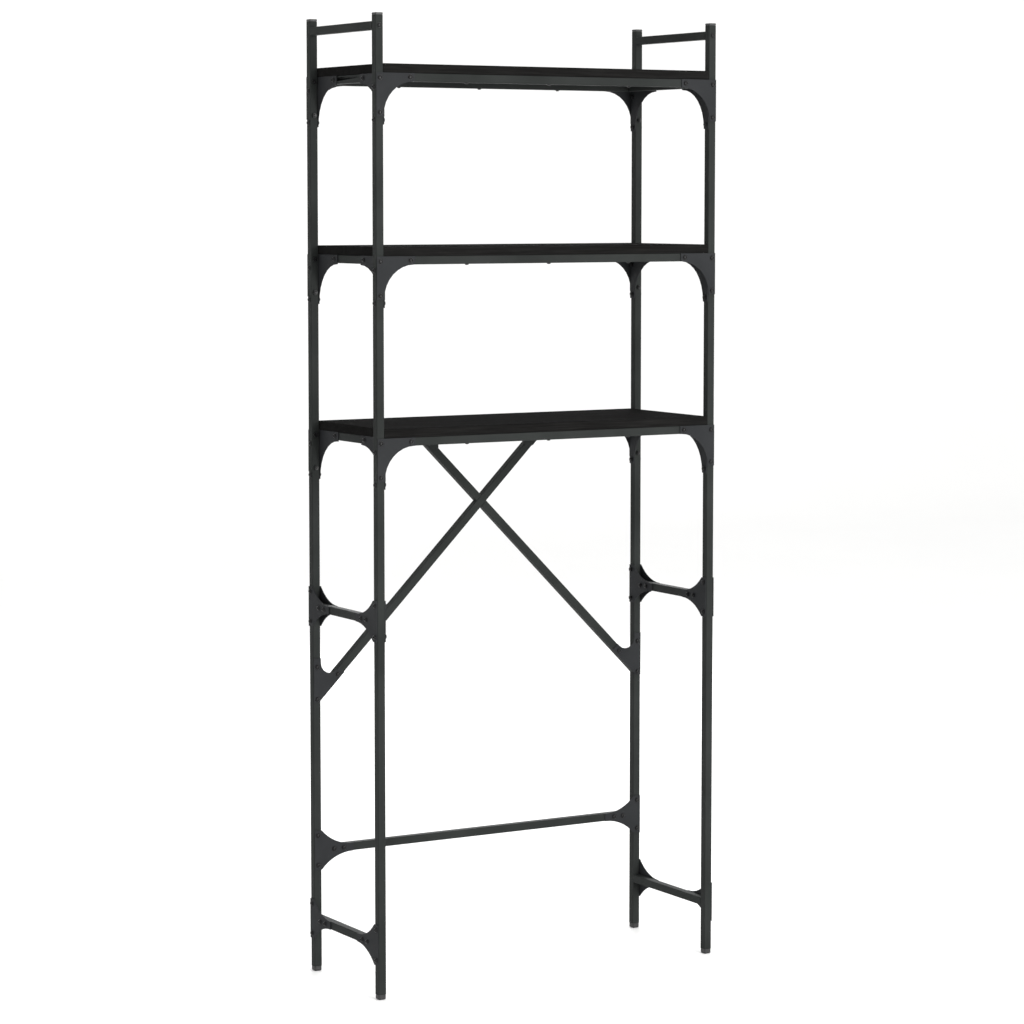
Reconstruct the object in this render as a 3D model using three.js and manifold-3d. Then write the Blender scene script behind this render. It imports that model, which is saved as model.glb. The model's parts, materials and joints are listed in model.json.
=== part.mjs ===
// Free-standing storage rack that stands over a toilet: four tall square posts, three shelves with
// boards on tube rails, a cross brace and a low bar at the back, and bars along both sides.
// Millimetres. X runs across the rack, Y from front to back, Z up, with the floor at Z = 0.

import * as THREE from 'three';
import { mergeVertices } from 'three/addons/utils/BufferGeometryUtils.js';
import Module from 'manifold-3d';

const wasm = await Module();
wasm.setup();

// ---- Driving sizes ----

const overallWidth = 720;
const overallDepth = 269;
const bayHeight = 999.5;         // floor to the underside of the lowest rails, where the toilet goes
const shelfPitch = 323;          // from one shelf to the next
const guardHeight = 115.5;       // underside of the top shelf's rails to the top of the posts
const shelfCount = 3;

const fit = 0.3;                 // clearance between pieces that touch

const tubeSize = 15;
const tubeWall = 1;
const tubeCornerRadius = 1.2;

const boardThickness = 16;
const boardEdgeBevel = 0.6;

const footHeight = 9;            // part of the foot that shows under the post
const footEdgeRadius = 2.4;
const footPlugDepth = 14;
const capHeight = 4;             // part of the cap that shows on top of the post
const capEdgeBevel = 0.8;
const capPlugDepth = 10;

const handleDrop = 18;           // top of the posts to the middle of the handle bars
const midBarDrop = 312.5;        // underside of the lowest rails to the middle of the mid bars
const lowBarHeight = 100;        // floor to the middle of the low side bars
const rearBarHeight = 229;       // floor to the middle of the rear bar

const sheet = 1.5;               // thickness of every bracket and plate
const sheetInset = 0.5;          // plates stop this far inside the outer edge of a post

const arcEnd = 2.2;              // straight stretch of a plate's edge past its arc
const frontPlateArc = 60;        // shelf bracket, plate on the front or back of the post
const sideWebArc = 72;           // shelf bracket, web along the side rail
const sideWebDrop = 2;           // web below the underside of the side rail
const gussetArc = 85;            // plates at the ends of the side bars and the rear bar
const gussetArcReach = 64.5;

const braceAngle = THREE.MathUtils.degToRad(45);
const braceTopSpread = 132.5;    // middle of the rack to where a brace bar meets the rail above
const braceFootArc = 20;
const braceFootReach = 62;       // length of the foot plate along the brace bar
const braceFootLap = 9;          // foot plate on the post, above the arc
const braceFootBelow = 15;       // foot plate on the post, below the end of the bar
const braceHeadInner = 38;       // head plate, from the end of the bar to its upright edge
const braceHeadDrop = 31;        // head plate below the rail

const boltHole = 5;
const boltShank = 4.4;
const boltSides = 6;             // holes and shanks are drawn with this many sides
const frontPlateBoltDrops = [9, 70];    // below the rail top, through the post from front to back
const frontPlateRailBolt = 53.5;        // from the post along the rail
const sideWebBoltDrops = [25, 83];      // below the rail top, through the post from side to side
const sideWebRailBolt = 62;
const gussetPostBolt = 28;              // above and below the bar, through the post
const gussetBarBolts = [26, 46];        // from the post along the bar
const braceFootPostBolts = [51.5, -9];  // above the end of the bar, through the post
const braceFootBarBolt = 50;            // from the post along the brace bar
const boardScrewSpacing = 172;
const boardScrewHole = 4;

// ---- Sizes that follow ----

const halfWidth = overallWidth / 2;
const halfDepth = overallDepth / 2;
const halfTube = tubeSize / 2;
const innerX = halfWidth - tubeSize;
const innerY = halfDepth - tubeSize;
const postX = halfWidth - halfTube;
const postY = halfDepth - halfTube;
const postBottom = footHeight + fit;
const topRailBottom = bayHeight + (shelfCount - 1) * shelfPitch;
const postTop = topRailBottom + guardHeight;
const midBarHeight = bayHeight - midBarDrop;
const handleHeight = postTop - handleDrop;
const webFace = innerX - fit - sheet;
const sideRailX = webFace - fit - halfTube;
const boltDrill = boltHole / Math.cos(Math.PI / boltSides);           // clears the round bolt
const screwDrill = boardScrewHole / Math.cos(Math.PI / boltSides);
const frontPlateLeg = tubeSize + frontPlateArc + arcEnd;
const frontPlateReach = frontPlateArc + arcEnd;
const sideWebDepth = tubeSize + sideWebDrop;
const sideWebLeg = sideWebDepth + sideWebArc + arcEnd;
const sideWebReach = sideWebArc + arcEnd;
const gussetReach = gussetArcReach + arcEnd;
const gussetRise = gussetArc - Math.sqrt(gussetArc ** 2 - gussetArcReach ** 2);
const gussetHalfHeight = halfTube + gussetRise;
const braceCrossHeight = bayHeight - braceTopSpread * Math.tan(braceAngle);
const braceFootHeight = braceCrossHeight - innerX * Math.tan(braceAngle);
const braceLength = 2 * (innerX / Math.cos(braceAngle) + tubeSize);
const railBottoms = Array.from({ length: shelfCount }, (_, i) => bayHeight + i * shelfPitch);
const shelfNames = ['lower', 'middle', 'upper'];
const sides = [['left', -1], ['right', 1]];
const ends = [['front', -1], ['rear', 1]];

// ---- Finishes ----

const steel = { color: 0x3a3d3c, roughness: 0.5, metalness: 0.6 };
const board = { color: 0x1d1c1b, roughness: 0.55, metalness: 0 };
const plastic = { color: 0x141414, roughness: 0.5, metalness: 0 };

// ---- Solids ----

function solidOf(geometry) {
  geometry.deleteAttribute('normal');
  geometry.deleteAttribute('uv');
  const merged = mergeVertices(geometry, 1e-4);
  const vertProperties = new Float32Array(merged.attributes.position.array);
  const triVerts = new Uint32Array(merged.index.array);
  return new wasm.Manifold(new wasm.Mesh({ numProp: 3, vertProperties, triVerts }));
}

function geometryOf(solid) {
  const mesh = solid.getMesh();
  const geometry = new THREE.BufferGeometry();
  geometry.setAttribute('position', new THREE.BufferAttribute(mesh.vertProperties, 3));
  geometry.setIndex(new THREE.BufferAttribute(mesh.triVerts, 1));
  return geometry;
}

const xAxis = new THREE.Vector3(1, 0, 0);
const yAxis = new THREE.Vector3(0, 1, 0);
const zAxis = new THREE.Vector3(0, 0, 1);

function extrude(shape, depth, curveSegments = 1) {
  return new THREE.ExtrudeGeometry(shape, { depth, curveSegments, bevelEnabled: false });
}

// A sheet whose outline lies in the XZ plane, between two Y values.
function sheetAcrossY(outline, yLow, yHigh) {
  const geometry = extrude(new THREE.Shape(outline), yHigh - yLow);
  geometry.applyMatrix4(new THREE.Matrix4().makeBasis(xAxis, zAxis, yAxis.clone().negate()));
  return solidOf(geometry.translate(0, yHigh, 0));
}

// A sheet whose outline lies in the YZ plane, between two X values.
function sheetAcrossX(outline, xLow, xHigh) {
  const geometry = extrude(new THREE.Shape(outline), xHigh - xLow);
  geometry.applyMatrix4(new THREE.Matrix4().makeBasis(yAxis, zAxis, xAxis));
  return solidOf(geometry.translate(xLow, 0, 0));
}

// A round bar of the given length, centred on a point and lying along x or y.
function pin(diameter, length, axis, x, y, z) {
  const geometry = new THREE.CylinderGeometry(diameter / 2, diameter / 2, length, boltSides);
  geometry.rotateY(Math.PI / boltSides);
  if (axis === 'x') geometry.rotateZ(Math.PI / 2);
  return solidOf(geometry.translate(x, y, z));
}

function roundedSquare(size, radius) {
  const half = size / 2;
  const straight = half - radius;
  const shape = new THREE.Shape();
  shape.absarc(straight, straight, radius, 0, Math.PI / 2);
  shape.absarc(-straight, straight, radius, Math.PI / 2, Math.PI);
  shape.absarc(-straight, -straight, radius, Math.PI, 1.5 * Math.PI);
  shape.absarc(straight, -straight, radius, 1.5 * Math.PI, 2 * Math.PI);
  shape.closePath();
  return shape;
}

function squareBlock(size, radius, zLow, zHigh) {
  return solidOf(extrude(roundedSquare(size, radius), zHigh - zLow).translate(0, 0, zLow));
}

function box(size, centre) {
  return solidOf(new THREE.BoxGeometry(...size).translate(...centre));
}

// Square tube along z from 0 to its length, open at both ends. A hole goes through both walls, or
// through the one wall that its side names: 1 towards the positive axis, -1 towards the negative.
function squareTube(length, holes = []) {
  let tube = squareBlock(tubeSize, tubeCornerRadius, 0, length);
  const bore = tubeSize - 2 * tubeWall;
  tube = tube.subtract(box([bore, bore, length + 2], [0, 0, length / 2]));
  for (const { axis, at, diameter, side = 0 } of holes) {
    const offset = side * halfTube;
    const drill = side === 0 ? 2 * tubeSize : halfTube;
    const [x, y] = axis === 'x' ? [offset, 0] : [0, offset];
    tube = tube.subtract(pin(diameter, drill, axis, x, y, at));
  }
  return tube;
}

// Points of an arc, both ends included.
function arc(centreX, centreY, radius, from, to, steps = 8) {
  return Array.from({ length: steps + 1 }, (_, i) => {
    const angle = from + (to - from) * i / steps;
    return [centreX + radius * Math.cos(angle), centreY + radius * Math.sin(angle)];
  });
}

// Turns an outline drawn along +u into points that run along +u or -u from a start.
function placed(outline, direction, start = 0, height = 0) {
  return outline.map(([u, w]) => new THREE.Vector2(start + direction * u, height + w));
}

// ---- The object ----

const rack = new THREE.Group();

function add(name, solid, finish, position, rotation = [0, 0, 0]) {
  const mesh = new THREE.Mesh(geometryOf(solid), new THREE.MeshStandardMaterial(finish));
  mesh.name = name;
  mesh.position.set(...position);
  mesh.rotation.set(...rotation);
  rack.add(mesh);
}

// Posts, each one length of tube, with a plug foot below and a flat cap on top.

function postHoles(sx, isRear) {
  const drilled = (axis, side, heights) => heights.map(height => {
    return { axis, side, at: height - postBottom, diameter: boltDrill };
  });
  const railTops = railBottoms.map(bottom => bottom + tubeSize);
  const plateBolts = railTops.flatMap(top => frontPlateBoltDrops.map(drop => top - drop));
  const webBolts = railTops.flatMap(top => sideWebBoltDrops.map(drop => top - drop));
  const braceBolts = braceFootPostBolts.map(rise => braceFootHeight + rise);
  return [
    ...drilled('y', 0, [handleHeight, ...plateBolts]),
    ...drilled('x', 0, [...webBolts, ...gussetBolts(midBarHeight)]),
    ...drilled('x', sx, gussetBolts(lowBarHeight)),
    ...drilled('y', -1, isRear ? [...gussetBolts(rearBarHeight), ...braceBolts] : []),
  ];
}

function gussetBolts(height) {
  return [height - gussetPostBolt, height + gussetPostBolt];
}

// Head of the tube's outer size, rounded at its far edge, with a plug that goes inside the tube.
function plugEnd(height, edge, plugDepth, edgeSteps) {
  const outline = roundedSquare(tubeSize - 2 * edge, Math.max(tubeCornerRadius - edge, 0.5));
  const rounded = new THREE.ExtrudeGeometry(outline, {
    depth: height,
    curveSegments: 1,
    bevelThickness: edge,
    bevelSize: edge,
    bevelSegments: edgeSteps,
  });
  const room = box([2 * tubeSize, 2 * tubeSize, height], [0, 0, height / 2]);
  const head = solidOf(rounded.translate(0, 0, edge)).intersect(room);
  const plugSize = tubeSize - 2 * tubeWall - 2 * fit;
  return head.add(squareBlock(plugSize, tubeCornerRadius / 2, height / 2, height + plugDepth));
}

for (const [side, sx] of sides) {
  for (const [end, sy] of ends) {
    const place = [sx * postX, sy * postY];
    const post = squareTube(postTop - postBottom, postHoles(sx, end === 'rear'));
    add(`${end}_${side}_post`, post, steel, [...place, postBottom]);
    const foot = plugEnd(footHeight, footEdgeRadius, footPlugDepth, 2);
    add(`${end}_${side}_foot`, foot, plastic, [...place, 0]);
    const cap = plugEnd(capHeight, capEdgeBevel, capPlugDepth, 1);
    add(`${end}_${side}_cap`, cap, plastic, [...place, postTop + fit + capHeight], [Math.PI, 0, 0]);
  }
}

// Bars that run from front to back: handles and side bars between the posts, and the side rails of
// the shelves, which lie inside the bracket webs, between the long rails.

const sideBarLength = 2 * (innerY - fit);

function addSideBar(name, x, height, boltReaches, boltSide) {
  const bolts = boltReaches.flatMap(reach => [reach - fit, sideBarLength - reach + fit]);
  const holes = bolts.map(at => ({ axis: 'x', side: boltSide, at, diameter: boltDrill }));
  const place = [x, -sideBarLength / 2, height];
  add(name, squareTube(sideBarLength, holes), steel, place, [-Math.PI / 2, 0, 0]);
}

for (const [side, sx] of sides) {
  addSideBar(`${side}_handle`, sx * postX, handleHeight, [], 0);
  addSideBar(`${side}_mid_bar`, sx * postX, midBarHeight, gussetBarBolts, 0);
  addSideBar(`${side}_low_bar`, sx * postX, lowBarHeight, gussetBarBolts, sx);
}

// Shelves: two long rails, two side rails, a board on top and a bracket at each corner.

const longRailLength = 2 * (webFace - fit);

function longRail(sy) {
  const boltAt = innerX - frontPlateRailBolt;
  const middle = longRailLength / 2;
  const bolts = [-boltAt, boltAt].map(x => {
    return { axis: 'y', side: sy, at: middle + x, diameter: boltDrill };
  });
  const screws = [-1, 0, 1].map(step => {
    return { axis: 'x', at: middle + step * boardScrewSpacing, diameter: screwDrill };
  });
  return squareTube(longRailLength, [...bolts, ...screws]);
}

function shelfBoard() {
  const width = 2 * (innerX - fit);
  const depth = overallDepth;
  const halfX = width / 2 - boardEdgeBevel;
  const halfY = depth / 2 - boardEdgeBevel;
  const outline = [[-halfX, -halfY], [halfX, -halfY], [halfX, halfY], [-halfX, halfY]];
  return solidOf(new THREE.ExtrudeGeometry(new THREE.Shape(placed(outline, 1)), {
    depth: boardThickness - 2 * boardEdgeBevel,
    bevelThickness: boardEdgeBevel,
    bevelSize: boardEdgeBevel,
    bevelSegments: 1,
  }).translate(0, 0, boardEdgeBevel));
}

// Corner bracket: a plate on the outer face of the post and the long rail, joined to a web between
// the post and the shelf frame, along the side rail. Its origin is the post's axis at the rail top.
function cornerBracket(sx, sy) {
  const plateNear = halfTube + fit;
  const plateFar = plateNear + sheet;
  const webNear = halfTube + fit;
  const webFar = webNear + sheet;
  const plateOutline = [
    [sheetInset - tubeSize, 0],
    [frontPlateReach, 0],
    [frontPlateReach, -tubeSize],
    ...arc(frontPlateArc, -tubeSize - frontPlateArc, frontPlateArc, Math.PI / 2, Math.PI),
    [0, -frontPlateLeg],
    [sheetInset - tubeSize, -frontPlateLeg],
  ];
  const webOutline = [
    [-tubeSize - fit - sheet / 2, 0],
    [sideWebReach, 0],
    [sideWebReach, -sideWebDepth],
    ...arc(sideWebArc, -sideWebDepth - sideWebArc, sideWebArc, Math.PI / 2, Math.PI),
    [0, -sideWebLeg],
    [-tubeSize, -sideWebLeg],
    [-tubeSize, -frontPlateLeg],
    [-tubeSize - fit - sheet / 2, -frontPlateLeg],
  ];
  const spanY = [sy * plateNear, sy * plateFar].sort((a, b) => a - b);
  const spanX = [-sx * webNear, -sx * webFar].sort((a, b) => a - b);
  let bracket = sheetAcrossY(placed(plateOutline, -sx, -sx * halfTube), ...spanY);
  bracket = bracket.add(sheetAcrossX(placed(webOutline, -sy, -sy * halfTube), ...spanX));
  const reachX = -sx * (halfTube + frontPlateRailBolt);
  const reachY = -sy * (halfTube + sideWebRailBolt);
  const holes = [
    ...frontPlateBoltDrops.map(drop => pin(boltDrill, sheet * 4, 'y', 0, sy * plateNear, -drop)),
    pin(boltDrill, sheet * 4, 'y', reachX, sy * plateNear, -halfTube),
    ...sideWebBoltDrops.map(drop => pin(boltDrill, sheet * 4, 'x', -sx * webNear, 0, -drop)),
    pin(boltDrill, sheet * 4, 'x', -sx * webNear, reachY, -halfTube),
  ];
  return holes.reduce((rest, hole) => rest.subtract(hole), bracket);
}

railBottoms.forEach((railBottom, index) => {
  const shelf = shelfNames[index];
  const railMiddle = railBottom + halfTube;
  const railTop = railBottom + tubeSize;
  for (const [end, sy] of ends) {
    const place = [-longRailLength / 2, sy * postY, railMiddle];
    add(`${shelf}_shelf_${end}_rail`, longRail(sy), steel, place, [0, Math.PI / 2, 0]);
  }
  for (const [side, sx] of sides) {
    addSideBar(`${shelf}_shelf_${side}_rail`, sx * sideRailX, railMiddle, [sideWebRailBolt], sx);
    for (const [end, sy] of ends) {
      const name = `${shelf}_shelf_${end}_${side}_bracket`;
      add(name, cornerBracket(sx, sy), steel, [sx * postX, sy * postY, railTop]);
    }
  }
  add(`${shelf}_shelf_board`, shelfBoard(), board, [0, 0, railTop + fit]);
});

// Plate that widens from a bar to a post in two equal arcs. Drawn along +u from the post's inner
// face, with w measured from the middle of the bar.
function gussetOutline() {
  const centre = halfTube + gussetArc;
  const turn = Math.PI / 2 - Math.asin(gussetArcReach / gussetArc);
  const upper = arc(gussetArcReach, centre, gussetArc, -Math.PI / 2, turn - Math.PI);
  const lower = upper.map(([u, w]) => [u, -w]).reverse();
  return [
    [sheetInset - tubeSize, gussetHalfHeight],
    [sheetInset - tubeSize, -gussetHalfHeight],
    ...lower,
    [gussetReach, -halfTube],
    [gussetReach, halfTube],
    ...upper,
  ];
}

// One side plate at the end of a side bar, between two distances from the post's axis. Its origin is
// the post's axis at the height of the bar.
function sideGusset(sy, xLow, xHigh) {
  const plate = sheetAcrossX(placed(gussetOutline(), -sy, -sy * halfTube), xLow, xHigh);
  return sideGussetBolts(sy, boltDrill, 4 * sheet, (xLow + xHigh) / 2)
    .reduce((rest, hole) => rest.subtract(hole), plate);
}

// Round bars at the bolts of a side plate, all centred on one X.
function sideGussetBolts(sy, diameter, length, x) {
  return [
    pin(diameter, length, 'x', x, 0, gussetPostBolt),
    pin(diameter, length, 'x', x, 0, -gussetPostBolt),
    ...gussetBarBolts.map(reach => pin(diameter, length, 'x', x, -sy * (halfTube + reach), 0)),
  ];
}

// Clamp of the mid bars: the same plate on the outer and the inner side, tied by the bolt shanks.
function sideClamp(sy) {
  const near = halfTube + fit;
  const far = near + sheet;
  const outer = sheetAcrossX(placed(gussetOutline(), -sy, -sy * halfTube), near, far);
  const inner = sheetAcrossX(placed(gussetOutline(), -sy, -sy * halfTube), -far, -near);
  return sideGussetBolts(sy, boltShank, 2 * near + sheet, 0)
    .reduce((all, shank) => all.add(shank), outer.add(inner));
}

for (const [side, sx] of sides) {
  for (const [end, sy] of ends) {
    const post = [sx * postX, sy * postY];
    add(`${side}_mid_bar_${end}_clamp`, sideClamp(sy), steel, [...post, midBarHeight]);
    const near = halfTube + fit;
    const span = [sx * near, sx * (near + sheet)].sort((a, b) => a - b);
    const plate = sideGusset(sy, ...span);
    add(`${side}_low_bar_${end}_plate`, plate, steel, [...post, lowBarHeight]);
  }
}

// Rear bar low between the rear posts, with a plate on the front of each post.

const rearBarLength = 2 * (innerX - fit);
const rearBarBolts = gussetBarBolts.flatMap(reach => [reach - fit, rearBarLength - reach + fit]);
const rearBarHoles = rearBarBolts.map(at => ({ axis: 'y', side: -1, at, diameter: boltDrill }));
const rearBar = squareTube(rearBarLength, rearBarHoles);
add('rear_bar', rearBar, steel, [-rearBarLength / 2, postY, rearBarHeight], [0, Math.PI / 2, 0]);

function rearBarPlate(sx) {
  const back = -halfTube - fit;
  const outline = placed(gussetOutline(), -sx, -sx * halfTube);
  const plate = sheetAcrossY(outline, back - sheet, back);
  return [
    pin(boltDrill, 4 * sheet, 'y', 0, back, gussetPostBolt),
    pin(boltDrill, 4 * sheet, 'y', 0, back, -gussetPostBolt),
    ...gussetBarBolts.map(reach => pin(boltDrill, 4 * sheet, 'y', -sx * (halfTube + reach), back, 0)),
  ].reduce((rest, hole) => rest.subtract(hole), plate);
}

for (const [side, sx] of sides) {
  add(`rear_bar_${side}_plate`, rearBarPlate(sx), steel, [sx * postX, postY, rearBarHeight]);
}

// Cross brace: two tubes in one plane between the rear posts, halved into each other where they
// cross. Each has its head plate welded on, which laps the front of the rail above it.

function braceBar(direction) {
  const alongBar = geometry => placeOnBrace(geometry, direction);
  const acrossBar = geometry => placeOnBrace(geometry, -direction);
  const block = extrude(roundedSquare(tubeSize, tubeCornerRadius), braceLength);
  const bore = tubeSize - 2 * tubeWall;
  const cavity = new THREE.BoxGeometry(bore, bore, braceLength + 2);
  const footZ = braceFootHeight - 2 * tubeSize;
  const headZ = bayHeight - fit;
  const room = box([2 * (innerX - fit), 2 * tubeSize, headZ - footZ], [0, 0, (headZ + footZ) / 2]);
  const lapSize = [tubeSize + 2 * fit, tubeSize + fit, 4 * tubeSize];
  const lap = new THREE.BoxGeometry(...lapSize).translate(0, direction * halfTube, 0);
  const tube = solidOf(alongBar(block.translate(0, 0, -braceLength / 2)))
    .subtract(solidOf(alongBar(cavity)))
    .intersect(room)
    .subtract(solidOf(acrossBar(lap)));
  const plateBack = -halfTube - fit;
  const head = sheetAcrossY(braceHeadOutline(direction), plateBack - sheet, plateBack);
  const weldSize = [tubeSize - 2 * tubeCornerRadius, fit + sheet / 2 + tubeWall / 2, braceLength];
  const weldY = (plateBack - sheet / 2 + tubeWall / 2 - halfTube) / 2;
  const weld = solidOf(alongBar(new THREE.BoxGeometry(...weldSize).translate(0, weldY, 0)))
    .intersect(room)
    .intersect(sheetAcrossY(braceHeadOutline(direction), plateBack - sheet, 0));
  const hole = pin(boltDrill, 2 * tubeSize, 'y', ...braceFootBoltPlace(-direction));
  return tube.add(weld).add(head).subtract(hole);
}

// Turns a shape that lies along z to the slope of a brace bar, and lifts it to the crossing.
function placeOnBrace(geometry, direction) {
  return geometry.rotateY(direction * (Math.PI / 2 - braceAngle)).translate(0, 0, braceCrossHeight);
}

// Head plate: upright inner edge, and an outer edge in line with the underside of the bar.
function braceHeadOutline(direction) {
  const edgeAt = height => {
    return braceTopSpread + (height - bayHeight) / Math.tan(braceAngle) + halfTube / Math.sin(braceAngle);
  };
  const low = bayHeight - braceHeadDrop;
  const high = bayHeight + tubeSize;
  const inner = braceTopSpread - braceHeadInner;
  return placed([[inner, low], [edgeAt(low), low], [edgeAt(high), high], [inner, high]], direction);
}

function braceFootBoltPlace(sx) {
  const along = braceFootBarBolt * Math.cos(braceAngle);
  return [sx * (innerX - along), 0, braceFootHeight + along * Math.tan(braceAngle)];
}

// Foot plate: laps the front of the post, with an arc between the post and the top of the bar.
function braceFootPlate(sx) {
  const [cos, sin] = [Math.cos(braceAngle), Math.sin(braceAngle)];
  const arcHeight = (braceFootArc + halfTube + braceFootArc * sin) / cos;
  const tip = [braceFootReach * cos, braceFootReach * sin];
  const top = arcHeight + braceFootLap;
  const outline = [
    [sheetInset - tubeSize, top],
    [sheetInset - tubeSize, -braceFootBelow],
    [(halfTube - braceFootBelow * cos) / sin, -braceFootBelow],
    [tip[0] + halfTube * sin, tip[1] - halfTube * cos],
    [tip[0] - halfTube * sin, tip[1] + halfTube * cos],
    ...arc(braceFootArc, arcHeight, braceFootArc, braceAngle - Math.PI / 2, -Math.PI, 6),
    [0, top],
  ];
  const back = -halfTube - fit;
  const plate = sheetAcrossY(placed(outline, -sx, sx * innerX, braceFootHeight), back - sheet, back);
  const postBolts = braceFootPostBolts.map(rise => [sx * postX, back, braceFootHeight + rise]);
  return [...postBolts, braceFootBoltPlace(sx)]
    .map(place => pin(boltDrill, 2 * tubeSize, 'y', ...place))
    .reduce((rest, hole) => rest.subtract(hole), plate);
}

add('brace_bar_rising_right', braceBar(1), steel, [0, postY, 0]);
add('brace_bar_rising_left', braceBar(-1), steel, [0, postY, 0]);
for (const [side, sx] of sides) {
  add(`brace_${side}_foot_plate`, braceFootPlate(sx), steel, [0, postY, 0]);
}

export default rack;
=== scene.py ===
import json
import math

import bpy
import numpy as np
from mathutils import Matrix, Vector


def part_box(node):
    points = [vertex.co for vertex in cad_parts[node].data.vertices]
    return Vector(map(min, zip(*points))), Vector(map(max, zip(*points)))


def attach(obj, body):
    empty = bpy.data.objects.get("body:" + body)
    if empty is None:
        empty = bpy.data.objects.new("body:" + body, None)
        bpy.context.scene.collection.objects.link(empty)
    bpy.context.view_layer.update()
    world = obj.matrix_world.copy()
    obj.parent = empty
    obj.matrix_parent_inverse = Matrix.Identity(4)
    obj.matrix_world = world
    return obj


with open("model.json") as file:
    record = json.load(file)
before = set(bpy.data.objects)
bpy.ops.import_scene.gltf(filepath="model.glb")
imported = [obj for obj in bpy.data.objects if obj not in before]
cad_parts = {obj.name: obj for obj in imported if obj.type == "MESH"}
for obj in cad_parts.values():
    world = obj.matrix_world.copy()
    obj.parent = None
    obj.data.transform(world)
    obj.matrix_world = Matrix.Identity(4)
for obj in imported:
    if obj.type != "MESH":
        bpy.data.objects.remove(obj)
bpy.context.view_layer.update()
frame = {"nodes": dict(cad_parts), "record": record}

record = frame["record"]
scene = bpy.context.scene
mm = 0.001
shelves = ("lower", "middle", "upper")
sides = (("left", -1), ("right", 1))
ends = (("front", -1), ("rear", 1))


def middleOf(node):
    low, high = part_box(node)
    return np.array((low + high) / 2)


# camera, light and floor
cameraValues = {
    "place": (-3.0354, -5.1561, 1.4377),
    "yaw": 30.46,       # degrees to the right of straight ahead
    "pitch": 5.012,     # degrees down
    "lens": 112.96,
    "shift": -0.03,
    "seesTo": 60,
}

studioValues = {
    "background": (1.0, 1.0, 1.0),
    "backgroundStrength": 1.0,
    "floorColour": (0.955, 0.955, 0.95),
    "floorSize": 16.0,
    "floorRise": 5.0,
    "floorBend": 1.6,
    "floorBendSteps": 24,
    "floorCloud": 1.2,       # scale of the slow change of tone
    "floorDarker": 0.985,    # how far the tone falls
    "floorRoughness": 0.7,
    # name: (place, aim, size, power, colour)
    "lights": {
        "frontLight": ((1.3, -4.7, 1.7), (0, 0, 0.9), 2.6, 205, (1.0, 0.995, 0.985)),
        "topLight": ((0.4, -0.6, 4.4), (0, 0, 0.9), 2.4, 24, (1.0, 1.0, 1.0)),
        "backLight": ((1.8, 3.6, 2.2), (0, 0, 1.0), 2.2, 60, (0.985, 0.99, 1.0)),
    },
}


def addCamera(values):
    data = bpy.data.cameras.new("camera")
    data.lens = values["lens"]
    data.shift_y = values["shift"]
    data.clip_end = values["seesTo"]
    camera = bpy.data.objects.new("camera", data)
    camera.location = values["place"]
    camera.rotation_euler = (math.radians(90 - values["pitch"]), 0, math.radians(-values["yaw"]))
    scene.collection.objects.link(camera)
    scene.camera = camera


def meshObject(name, points, faces, material):
    # points is an array of corners, faces a list of index loops
    mesh = bpy.data.meshes.new(name)
    mesh.from_pydata(points.tolist(), [], faces)
    mesh.validate()
    mesh.shade_smooth()
    mesh.materials.append(material)
    made = bpy.data.objects.new(name, mesh)
    scene.collection.objects.link(made)
    return made


def gridFaces(rows, columns, closed=False):
    # four-cornered faces of a grid of points stored row by row; closed joins the last column to the first
    across = columns if closed else columns - 1
    row, column = np.meshgrid(np.arange(rows - 1), np.arange(across), indexing="ij")
    nextColumn = (column + 1) % columns
    low, high = row * columns, (row + 1) * columns
    return np.stack([low + column, low + nextColumn, high + nextColumn, high + column], -1).reshape(-1, 4)


def addFloor(values, material):
    # a sheet that runs level, turns up in a quarter circle and rises: x across, one arc-length along y
    bend, half = values["floorBend"], values["floorSize"] / 2
    turn = np.linspace(0, math.pi / 2, values["floorBendSteps"])
    alongY = np.concatenate([[-half], half - bend + bend * np.sin(turn), [half]])
    up = np.concatenate([[0], bend * (1 - np.cos(turn)), [values["floorRise"]]])
    x = np.array([-half, half])
    points = np.stack([
        np.repeat(x[None, :], len(alongY), 0),
        np.repeat(alongY[:, None], 2, 1),
        np.repeat(up[:, None], 2, 1),
    ], -1).reshape(-1, 3)
    floor = meshObject("floor", points, gridFaces(len(alongY), 2).tolist(), material)


def addLights(values):
    for name, (place, aim, size, power, colour) in values["lights"].items():
        data = bpy.data.lights.new(name, "AREA")
        data.size = size
        data.energy = power
        data.color = colour
        light = bpy.data.objects.new(name, data)
        light.location = place
        light.rotation_mode = "QUATERNION"
        light.rotation_quaternion = (Vector(aim) - Vector(place)).to_track_quat("-Z", "Y")
        scene.collection.objects.link(light)
    world = bpy.data.worlds.new("studio")
    world.use_nodes = True
    background = world.node_tree.nodes["Background"]
    background.inputs["Color"].default_value = (*values["background"], 1)
    background.inputs["Strength"].default_value = values["backgroundStrength"]
    scene.world = world
    scene.view_settings.view_transform = "Standard"      # keeps the white of the studio white


# finishes
def newMaterial(name):
    material = bpy.data.materials.new(name)
    material.use_nodes = True
    nodes, links = material.node_tree.nodes, material.node_tree.links
    shader = nodes["Principled BSDF"]
    coords = nodes.new("ShaderNodeTexCoord").outputs["Object"]
    return material, nodes, links, shader, coords


def noiseOn(nodes, links, vector, scale, detail=4.0, roughness=0.55, distortion=0.0):
    noise = nodes.new("ShaderNodeTexNoise")
    noise.inputs["Scale"].default_value = scale
    noise.inputs["Detail"].default_value = detail
    noise.inputs["Roughness"].default_value = roughness
    noise.inputs["Distortion"].default_value = distortion
    links.new(vector, noise.inputs["Vector"])
    return noise.outputs["Fac"]


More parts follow.
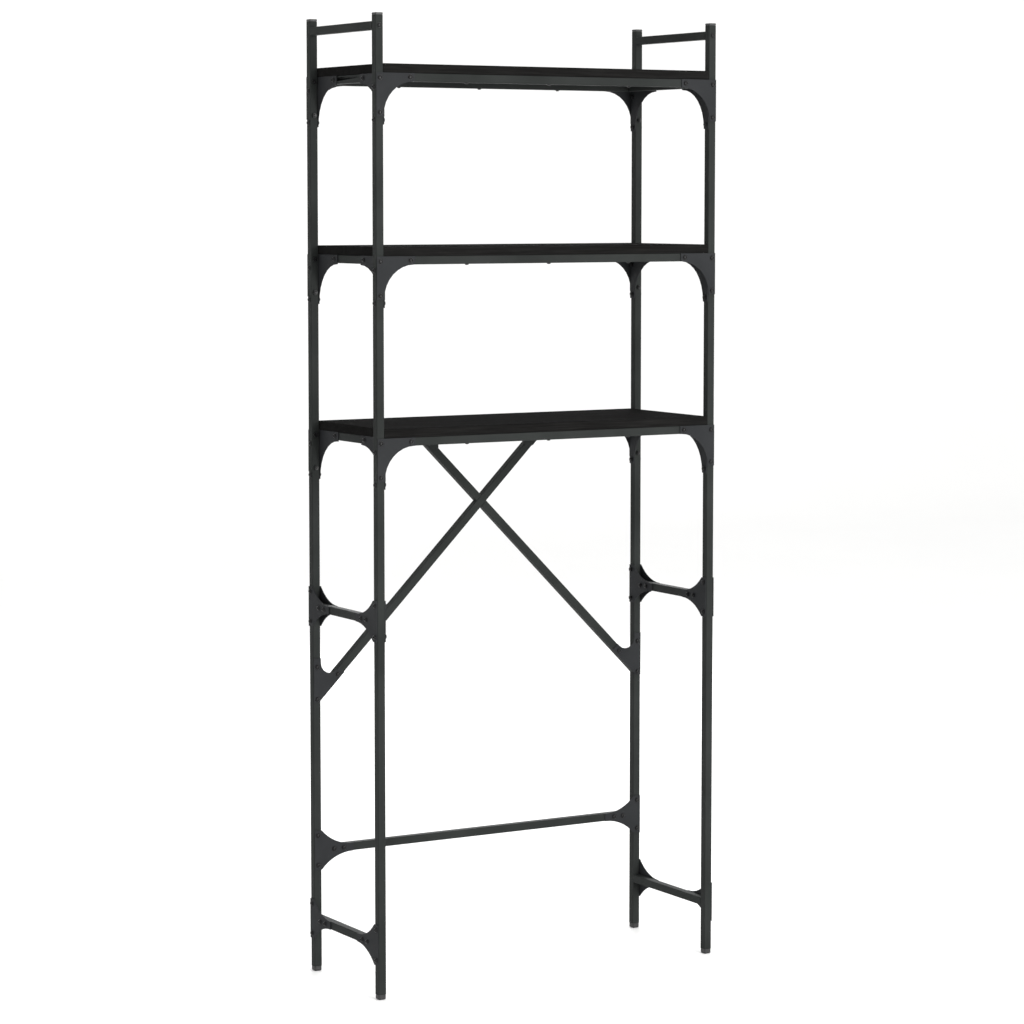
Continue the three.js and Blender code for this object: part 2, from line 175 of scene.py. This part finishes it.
def rampBetween(nodes, links, value, stops):
    # stops: (position, colour) pairs
    ramp = nodes.new("ShaderNodeValToRGB")
    elements = ramp.color_ramp.elements
    elements[0].position, elements[0].color = stops[0][0], (*stops[0][1], 1)
    elements[1].position, elements[1].color = stops[-1][0], (*stops[-1][1], 1)
    for position, colour in stops[1:-1]:
        elements.new(position).color = (*colour, 1)
    links.new(value, ramp.inputs["Fac"])
    return ramp.outputs["Color"]


def remap(nodes, links, value, low, high, fromLow=0.3, fromHigh=0.7):
    change = nodes.new("ShaderNodeMapRange")
    change.inputs["From Min"].default_value = fromLow
    change.inputs["From Max"].default_value = fromHigh
    change.inputs["To Min"].default_value = low
    change.inputs["To Max"].default_value = high
    links.new(value, change.inputs["Value"])
    return change.outputs["Result"]


def bumpFrom(nodes, links, height, shader, strength, distance, under=None):
    bump = nodes.new("ShaderNodeBump")
    bump.inputs["Strength"].default_value = strength
    bump.inputs["Distance"].default_value = distance
    links.new(height, bump.inputs["Height"])
    if under is not None:
        links.new(under, bump.inputs["Normal"])
    links.new(bump.outputs["Normal"], shader.inputs["Normal"])
    return bump.outputs["Normal"]


def stretched(nodes, links, coords, scale):
    mapping = nodes.new("ShaderNodeMapping")
    mapping.inputs["Scale"].default_value = scale
    links.new(coords, mapping.inputs["Vector"])
    return mapping.outputs["Vector"]


tubeCoatValues = {
    "dark": (0.0146, 0.0164, 0.0156),
    "light": (0.0234, 0.0257, 0.0247),
    "cloudScale": 9,
    "speckScale": 1100,
    "peelScale": 520,
    "speckShare": 0.55,
    "cloudShare": 0.45,
    "peelBump": (0.25, 0.0004),      # strength and height
    "speckBump": (0.12, 0.0002),
    "roughness": (0.50, 0.66),
    "shine": 0.06,
}
plateCoatValues = {
    **tubeCoatValues,
    "dark": (0.0154, 0.0164, 0.0177),
    "light": (0.0244, 0.0255, 0.0272),
    "roughness": (0.48, 0.62),
}


def powderCoat(name, values):
    # satin powder coat: fine orange peel, sparse lighter specks and slow cloudy variation
    material, nodes, links, shader, coords = newMaterial(name)
    cloud = noiseOn(nodes, links, coords, values["cloudScale"], 3)
    speck = noiseOn(nodes, links, coords, values["speckScale"], 2, 0.7)
    blend = nodes.new("ShaderNodeMath")
    blend.operation = "MULTIPLY_ADD"
    links.new(speck, blend.inputs[0])
    blend.inputs[1].default_value = values["speckShare"]
    links.new(remap(nodes, links, cloud, 0.0, values["cloudShare"]), blend.inputs[2])
    stops = [(0.25, values["dark"]), (0.75, values["light"])]
    links.new(rampBetween(nodes, links, blend.outputs[0], stops), shader.inputs["Base Color"])
    links.new(remap(nodes, links, speck, *values["roughness"]), shader.inputs["Roughness"])
    shader.inputs["Specular IOR Level"].default_value = values["shine"]
    peel = noiseOn(nodes, links, coords, values["peelScale"], 2, 0.5)
    peeled = bumpFrom(nodes, links, peel, shader, *values["peelBump"])
    bumpFrom(nodes, links, speck, shader, *values["speckBump"], peeled)
    return material


boardValues = {
    "dark": (0.0056, 0.0055, 0.0054),
    "mid": (0.0090, 0.0088, 0.0086),
    "light": (0.0144, 0.0141, 0.0137),
    "figureNoise": (4.5, 5, 0.6, 1.4),      # scale, detail, roughness, distortion
    "streakNoise": (3.0, 4, 0.65, 0.25),
    "poreNoise": (2.0, 2, 0.5),
    "figureStretch": (1.1, 9, 9),      # along x the grain runs longest
    "streakStretch": (4, 210, 210),
    "poreStretch": (30, 900, 900),
    "figureShare": 0.5,
    "streakShare": 0.5,
    "streakBump": (0.22, 0.0003),
    "poreBump": (0.18, 0.0002),
    "roughness": (0.86, 0.96),
    "shine": 0.0012,
}


def boardVeneer(values):
    # black wood-effect board: long streaks along x, finer pores, slow bands that make the figure
    material, nodes, links, shader, coords = newMaterial("boardVeneer")
    figureCoords = stretched(nodes, links, coords, values["figureStretch"])
    streakCoords = stretched(nodes, links, coords, values["streakStretch"])
    poreCoords = stretched(nodes, links, coords, values["poreStretch"])
    figure = noiseOn(nodes, links, figureCoords, *values["figureNoise"])
    streak = noiseOn(nodes, links, streakCoords, *values["streakNoise"])
    pores = noiseOn(nodes, links, poreCoords, *values["poreNoise"])
    blend = nodes.new("ShaderNodeMath")
    blend.operation = "MULTIPLY_ADD"
    links.new(figure, blend.inputs[0])
    blend.inputs[1].default_value = values["figureShare"]
    links.new(remap(nodes, links, streak, 0.0, values["streakShare"], 0.25, 0.75), blend.inputs[2])
    stops = [(0.28, values["dark"]), (0.5, values["mid"]), (0.74, values["light"])]
    links.new(rampBetween(nodes, links, blend.outputs[0], stops), shader.inputs["Base Color"])
    links.new(remap(nodes, links, streak, *values["roughness"]), shader.inputs["Roughness"])
    shader.inputs["Specular IOR Level"].default_value = values["shine"]
    streaked = bumpFrom(nodes, links, streak, shader, *values["streakBump"])
    bumpFrom(nodes, links, pores, shader, *values["poreBump"], streaked)
    return material


plasticValues = {
    "dark": (0.0070, 0.0070, 0.0075),
    "light": (0.0125, 0.0125, 0.0130),
    "grainScale": 1400,
    "grainBump": (0.2, 0.0002),
    "roughness": (0.42, 0.55),
}


def mouldedPlastic(values):
    # black moulded plastic with a spark-eroded grain
    material, nodes, links, shader, coords = newMaterial("mouldedPlastic")
    grain = noiseOn(nodes, links, coords, values["grainScale"], 3, 0.6)
    stops = [(0.3, values["dark"]), (0.7, values["light"])]
    links.new(rampBetween(nodes, links, grain, stops), shader.inputs["Base Color"])
    links.new(remap(nodes, links, grain, *values["roughness"]), shader.inputs["Roughness"])
    bumpFrom(nodes, links, grain, shader, *values["grainBump"])
    return material


boltFinishValues = {
    "dark": (0.0040, 0.0040, 0.0044),
    "light": (0.0105, 0.0105, 0.0111),
    "rubScale": 700,
    "rubBump": (0.08, 0.0001),
    "roughness": (0.24, 0.38),
    "shine": 0.22,
}


def blackedBolt(values):
    # black oxide steel, rubbed a little lighter in patches
    material, nodes, links, shader, coords = newMaterial("blackedBolt")
    rub = noiseOn(nodes, links, coords, values["rubScale"], 4, 0.6)
    stops = [(0.35, values["dark"]), (0.72, values["light"])]
    links.new(rampBetween(nodes, links, rub, stops), shader.inputs["Base Color"])
    links.new(remap(nodes, links, rub, *values["roughness"]), shader.inputs["Roughness"])
    shader.inputs["Specular IOR Level"].default_value = values["shine"]
    bumpFrom(nodes, links, rub, shader, *values["rubBump"])
    return material


def paleFloor(values):
    # near white sheet whose tone changes a little and slowly
    material, nodes, links, shader, coords = newMaterial("paleFloor")
    shade = noiseOn(nodes, links, coords, values["floorCloud"], 3)
    colour = values["floorColour"]
    darker = tuple(c * values["floorDarker"] for c in colour)
    links.new(rampBetween(nodes, links, shade, [(0.3, darker), (0.7, colour)]), shader.inputs["Base Color"])
    shader.inputs["Roughness"].default_value = values["floorRoughness"]
    return material


plateCoat = powderCoat("plateCoat", plateCoatValues)
finishes = {
    "frame_steel": powderCoat("tubeCoat", tubeCoatValues),
    "board_veneer": boardVeneer(boardValues),
    "black_plastic": mouldedPlastic(plasticValues),
    "bolt_steel": blackedBolt(boltFinishValues),
}
addCamera(cameraValues)
addLights(studioValues)
addFloor(studioValues, paleFloor(studioValues))
print("studio and finishes made")


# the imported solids: finish and softened edges
edgeValues = {
    "frame_steel": 0.25 * mm,
    "board_veneer": 0.3 * mm,
    "black_plastic": 0.3 * mm,
    "weldWithin": 0.01 * mm,
    "flatWithin": 0.5,     # degrees
    "sharperThan": 30,     # degrees
    "segments": 2,
}


def softenEdges(node, slotName, values):
    # joins the loose triangles, makes each flat one face and rounds the sharp edges
    weld = node.modifiers.new("weld", "WELD")
    weld.merge_threshold = values["weldWithin"]
    flat = node.modifiers.new("joinFlats", "DECIMATE")
    flat.decimate_type = "DISSOLVE"
    flat.angle_limit = math.radians(values["flatWithin"])
    bevel = node.modifiers.new("edge", "BEVEL")
    bevel.width = values[slotName]
    bevel.segments = values["segments"]
    bevel.limit_method = "ANGLE"
    bevel.angle_limit = math.radians(values["sharperThan"])
    bevel.use_clamp_overlap = True


for part in record["subparts"]:
    node = frame["nodes"][part["node"]]
    slotName = part["material_slot"]
    isPlate = part["node"].endswith(("bracket", "plate", "clamp"))
    node.material_slots[0].material = plateCoat if isPlate else finishes[slotName]
    softenEdges(node, slotName, edgeValues)
print("finish on", len(record["subparts"]), "solids")


# bolts, nuts and board screws
fastenerValues = {
    "around": 24,                 # points round a fastener
    "sharperThan": 35,            # degrees; such edges stay sharp in the shading
    "grip": 9 * mm,               # shank of a bolt that goes into one wall
}
boltValues = {
    "headWidth": 8.6 * mm,
    "headHeight": 2.5 * mm,
    "domeRings": (0.12, 0.92, 5),      # from, to and count, as shares of a quarter turn
    "domeNarrowing": 0.78,
    "socketWidth": 3.2 * mm,      # across flats
    "socketDepth": 1.3 * mm,
    "socketChamfer": 0.1 * mm,
    "washerWidth": 9.6 * mm,
    "washerHeight": 0.5 * mm,
    "washerBulge": 0.05 * mm,
    "washerChamfer": 0.1 * mm,
    "shankWidth": 4.2 * mm,
}
nutValues = {
    "width": 7.6 * mm,            # across flats
    "height": 3.4 * mm,
    "chamfer": 0.35 * mm,
    "tipPast": 1.2 * mm,          # bolt end past its nut
    "tipChamfer": 0.3 * mm,
    "boreRim": 0.15 * mm,
}
screwValues = {
    "headWidth": 7.2 * mm,
    "headHeight": 2.0 * mm,
    "domeRings": (0.1, 0.9, 4),
    "domeNarrowing": 0.75,
    "crossRadius": 0.9 * mm,
    "crossReach": 0.55,           # how far its arms go past that, as a share
    "crossDepth": 0.9 * mm,
    "shankWidth": 3.4 * mm,
    "bite": 11 * mm,
    "point": 2 * mm,
}


def ringAngles():
    return np.arange(fastenerValues["around"]) * 2 * math.pi / fastenerValues["around"]


def hexRadius(angle, acrossFlats):
    # distance to a hexagon's side at an angle: half the width over the cosine of the angle from the flat
    fromFlat = (angle + math.pi / 6) % (math.pi / 3) - math.pi / 6
    return acrossFlats / 2 / np.cos(fromFlat)


def turned(radii, heights):
    # rings of points, capped at both ends: x is a ring's radius times the cosine of the angle, y its radius
    # times the sine, and z its height
    angle = ringAngles()
    radii = np.stack([np.broadcast_to(r, angle.shape) for r in radii])
    heights = np.asarray(heights)[:, None] * np.ones_like(angle)
    points = np.stack([radii * np.cos(angle), radii * np.sin(angle), heights], -1).reshape(-1, 3)
    rows, columns = radii.shape
    ring = np.arange(columns)
    caps = np.stack([ring[::-1], ring + (rows - 1) * columns])
    return points, gridFaces(rows, columns, closed=True), caps


def domed(half, tall, values):
    # a dome's rings: radius by the cosine and height by the sine of an angle that grows ring by ring
    start, stop, count = values["domeRings"]
    angle = np.linspace(start, stop, count) * math.pi / 2
    return list(half * np.cos(angle * values["domeNarrowing"])), list(tall * np.sin(angle))


def boltHead(shankLength, values):
    # washer, button head with a hexagon socket, and a plain shank; z = 0 is the face it bears on
    base, half, tall = values["washerHeight"], values["headWidth"] / 2, values["headHeight"]
    socket = hexRadius(ringAngles(), values["socketWidth"])
    washer, shank = values["washerWidth"] / 2, values["shankWidth"] / 2
    domeRadii, domeHeights = domed(half, tall, values)
    radii = [shank, shank, washer, washer + values["washerBulge"], washer - values["washerChamfer"], half]
    heights = [-shankLength, 0, 0, base * 0.5, base, base]
    radii += domeRadii + [socket * 1.06, socket, socket * 0.98]
    heights += [base + rise for rise in domeHeights]
    top = base + tall
    heights += [top, top - values["socketChamfer"], top - values["socketDepth"]]
    return turned(radii, heights)


def hexNut(shankWidth, values):
    # nut with chamfered corners and a rounded bolt end; z = 0 is the face it bears on
    hexagon = hexRadius(ringAngles(), values["width"])
    inside, tall, shank = values["width"] / 2 * 0.99, values["height"], shankWidth / 2
    chamfer, tip = values["chamfer"], values["height"] + values["tipPast"]
    radii = [inside, hexagon, hexagon, np.minimum(hexagon, inside * 1.03), shank * 1.15]
    radii += [shank, shank, shank * 0.8]
    heights = [0, chamfer, tall - chamfer, tall, tall]
    heights += [tall - values["boreRim"], tip - values["tipChamfer"], tip]
    return turned(radii, heights)


def boardScrew(values):
    # pan head with a shallow cross recess, and the shank that goes up into the board
    half, tall, shank = values["headWidth"] / 2, values["headHeight"], values["shankWidth"] / 2
    cross = values["crossRadius"] * (1 + values["crossReach"] * np.cos(4 * ringAngles()))
    domeRadii, domeHeights = domed(half, tall, values)
    radii = [shank * 0.2, shank, shank, half] + domeRadii + [cross * 1.05, cross * 0.9]
    heights = [-values["bite"], -values["bite"] + values["point"], 0, 0] + domeHeights
    heights += [tall, tall - values["crossDepth"]]
    return turned(radii, heights)


def stood(shape, place, out):
    # turns a fastener so that its axis points along out, a unit vector, and moves it to its place
    points, quads, caps = shape
    out = np.asarray(out, float)
    side = np.array([0, 0, 1.0]) if abs(out[2]) < 0.5 else np.array([1.0, 0, 0])
    third = np.cross(out, side)
    basis = np.stack([side, third, out])
    if np.linalg.det(basis) < 0:
        basis[1] = -third
    return points @ basis + np.asarray(place), quads, caps


def fastenerPiece(name, shapes):
    # several closed fasteners as one piece on the rack, each one's indices moved past those before it
    points, quads, caps = zip(*shapes)
    starts = np.cumsum([0] + [len(p) for p in points[:-1]])
    faces = []
    for start, quad, cap in zip(starts, quads, caps):
        faces += (quad + start).tolist() + (cap + start).tolist()
    made = meshObject(name, np.concatenate(points), faces, finishes["bolt_steel"])
    made.data.set_sharp_from_angle(angle=math.radians(fastenerValues["sharperThan"]))
    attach(made, "root")


def boltAt(place, out, grip=fastenerValues["grip"]):
    return stood(boltHead(grip, boltValues), place, out)


def nutAt(place, out):
    return stood(hexNut(boltValues["shankWidth"], nutValues), place, out)


placeValues = {
    "plateBolts": (9 * mm, 70 * mm),      # below the rail top
    "plateRailBolt": 53.5 * mm,           # from the post
    "webBolts": (25 * mm, 83 * mm),       # below the rail top
    "webRailBolt": 62 * mm,               # from the post
    "gussetPostBolt": 28 * mm,            # above and below the middle of the bar
    "gussetBarBolts": (26 * mm, 46 * mm),     # from the post
    "bracePostBolts": (51.5 * mm, -9 * mm),   # above the end of the bar
    "braceBarBolt": 50 * mm,              # along the bar, from its end
    "braceFootBelow": 15 * mm,            # lowest edge of the foot plate, under the end of the bar
    "braceHeadBolt": 18 * mm,             # below the rear rail
    "screwSteps": (-1, 0, 1),             # times the spacing, from the middle of the rail
    "screwSpacing": 172 * mm,
    "sheet": 1.5 * mm,
    "fit": 0.3 * mm,
}


def postAxis(side, end):
    return middleOf(f"{end}_{side}_post")


postLow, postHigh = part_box("front_left_post")
tube = postHigh.x - postLow.x
halfTube = tube / 2
plateFace = halfTube + placeValues["fit"] + placeValues["sheet"]


def shelfFasteners(shelf, side, sx, end, sy):
    # plate bolts go from front to back, web bolts from side to side; heads outside, nuts inside
    v = placeValues
    axis = postAxis(side, end)
    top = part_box(f"{shelf}_shelf_{end}_rail")[1].z
    inX, inY = -sx, -sy
    shapes = []
    for drop in v["plateBolts"]:
        at = np.array([axis[0], axis[1], top - drop])
        shapes.append(boltAt(at + [0, sy * plateFace, 0], (0, sy, 0), tube))
        shapes.append(nutAt(at + [0, -sy * halfTube, 0], (0, -sy, 0)))
    railX = axis[0] + inX * (halfTube + v["plateRailBolt"])
    shapes.append(boltAt((railX, axis[1] + sy * plateFace, top - halfTube), (0, sy, 0)))
    for drop in v["webBolts"]:
        at = np.array([axis[0], axis[1], top - drop])
        shapes.append(boltAt(at + [sx * halfTube, 0, 0], (sx, 0, 0), tube))
        shapes.append(nutAt(at + [inX * plateFace, 0, 0], (inX, 0, 0)))
    railY = axis[1] + inY * (halfTube + v["webRailBolt"])
    webOuter = axis[0] + inX * (halfTube + v["fit"])
    shapes.append(boltAt((webOuter, railY, top - halfTube), (sx, 0, 0)))
    fastenerPiece(f"{shelf}_shelf_{end}_{side}_bolts", shapes)


def sideBarFasteners(side, sx, end, sy):
    # mid clamps are bolted right through, low plates only from outside
    v = placeValues
    axis = postAxis(side, end)
    for level in ("mid", "low"):
        height = middleOf(f"{side}_{level}_bar")[2]
        places = [(axis[1], height + rise) for rise in (v["gussetPostBolt"], -v["gussetPostBolt"])]
        places += [(axis[1] - sy * (halfTube + reach), height) for reach in v["gussetBarBolts"]]
        shapes = [boltAt((axis[0] + sx * plateFace, y, z), (sx, 0, 0)) for y, z in places]
        if level == "mid":
            shapes += [nutAt((axis[0] - sx * plateFace, y, z), (-sx, 0, 0)) for y, z in places]
        fastenerPiece(f"{side}_{level}_bar_{end}_bolts", shapes)


def rearFasteners(side, sx):
    v = placeValues
    axis = postAxis(side, "rear")
    face = axis[1] - plateFace
    height = middleOf("rear_bar")[2]
    places = [(axis[0], height + rise) for rise in (v["gussetPostBolt"], -v["gussetPostBolt"])]
    places += [(axis[0] - sx * (halfTube + reach), height) for reach in v["gussetBarBolts"]]
    fastenerPiece(f"rear_bar_{side}_bolts", [boltAt((x, face, z), (0, -1, 0)) for x, z in places])

    # a foot plate's lowest edge lies a known step below the end of its bar, whose slope is 45 degrees
    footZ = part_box(f"brace_{side}_foot_plate")[0].z + v["braceFootBelow"]
    along = v["braceBarBolt"] * math.sqrt(0.5)
    places = [(axis[0], footZ + rise) for rise in v["bracePostBolts"]]
    places.append((axis[0] - sx * (halfTube + along), footZ + along))
    fastenerPiece(f"brace_{side}_foot_bolts", [boltAt((x, face, z), (0, -1, 0)) for x, z in places])

    # the middle of a bar, followed up from its foot, gives the place of the bolt in its head plate
    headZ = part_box("lower_shelf_rear_rail")[0].z - v["braceHeadBolt"]
    headX = axis[0] - sx * (halfTube + headZ - footZ)
    rising = "right" if sx < 0 else "left"
    fastenerPiece(f"brace_bar_rising_{rising}_bolt", [boltAt((headX, face, headZ), (0, -1, 0))])


def handleFasteners():
    shapes = []
    for side, sx in sides:
        height = middleOf(f"{side}_handle")[2]
        for end, sy in ends:
            axis = postAxis(side, end)
            shapes.append(boltAt((axis[0], axis[1] + sy * halfTube, height), (0, sy, 0)))
    fastenerPiece("handle_bolts", shapes)


def screwFasteners(shelf):
    shapes = []
    for end, _ in ends:
        low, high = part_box(f"{shelf}_shelf_{end}_rail")
        y = (low.y + high.y) / 2
        for step in placeValues["screwSteps"]:
            place = (step * placeValues["screwSpacing"], y, low.z)
            shapes.append(stood(boardScrew(screwValues), place, (0, 0, -1)))
    fastenerPiece(f"{shelf}_shelf_board_screws", shapes)


for side, sx in sides:
    for end, sy in ends:
        for shelf in shelves:
            shelfFasteners(shelf, side, sx, end, sy)
        sideBarFasteners(side, sx, end, sy)
    rearFasteners(side, sx)
handleFasteners()
for shelf in shelves:
    screwFasteners(shelf)
print("bolts, nuts and screws made")
